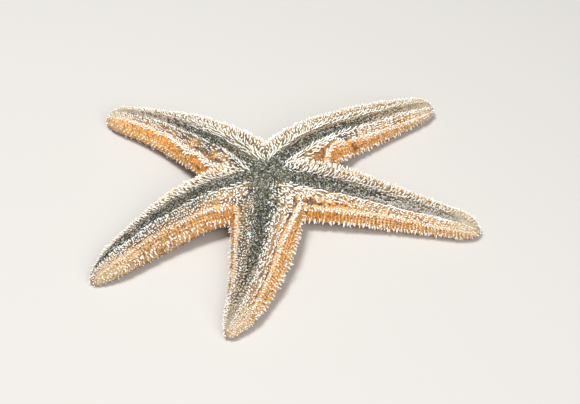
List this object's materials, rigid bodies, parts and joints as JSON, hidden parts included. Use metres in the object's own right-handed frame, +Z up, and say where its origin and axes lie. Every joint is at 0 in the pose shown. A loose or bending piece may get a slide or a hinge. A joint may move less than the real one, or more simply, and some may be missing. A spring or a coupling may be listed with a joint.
{
  "type": "starfish",
  "caption": "Life-size common starfish lying still on its back, mouth and arm furrows turned up, spiny arms spread and slightly curled.",
  "frame": {"origin": "on the floor under the mouth, at the middle of the flat that the disc rests on", "axes": "+Z up, out of the mouth; +X and +Y lie on the floor, with arm_1 pointing along -Y and arm_2 close to +X"},
  "size_m": [0.1338, 0.1251, 0.0153],
  "materials": {
    "skin": "moist orange skin with paler ribs and fine papulae",
    "tips": "smooth pale cream skin",
    "spines": "matt chalky white calcite",
    "tube_feet": "wet translucent grey-tan skin",
    "mouth": "soft wet skin",
    "madreporite": "pale grooved calcite plate",
    "sand": "fine dark sand grains stuck in the furrows"
  },
  "bodies": {
    "root": {"disc": "skin", "mouth": "mouth", "madreporite": "madreporite", "arm_1": "skin", "arm_2": "skin", "arm_3": "skin", "arm_4": "skin", "arm_5": "skin", "arm_tip_1": "tips", "arm_tip_2": "tips", "arm_tip_3": "tips", "arm_tip_4": "tips", "arm_tip_5": "tips", "tube_feet_1": "tube_feet", "tube_feet_2": "tube_feet", "tube_feet_3": "tube_feet", "tube_feet_4": "tube_feet", "tube_feet_5": "tube_feet", "jaw_1": "spines", "jaw_2": "spines", "jaw_3": "spines", "jaw_4": "spines", "jaw_5": "spines"}
  },
  "joints": []
}
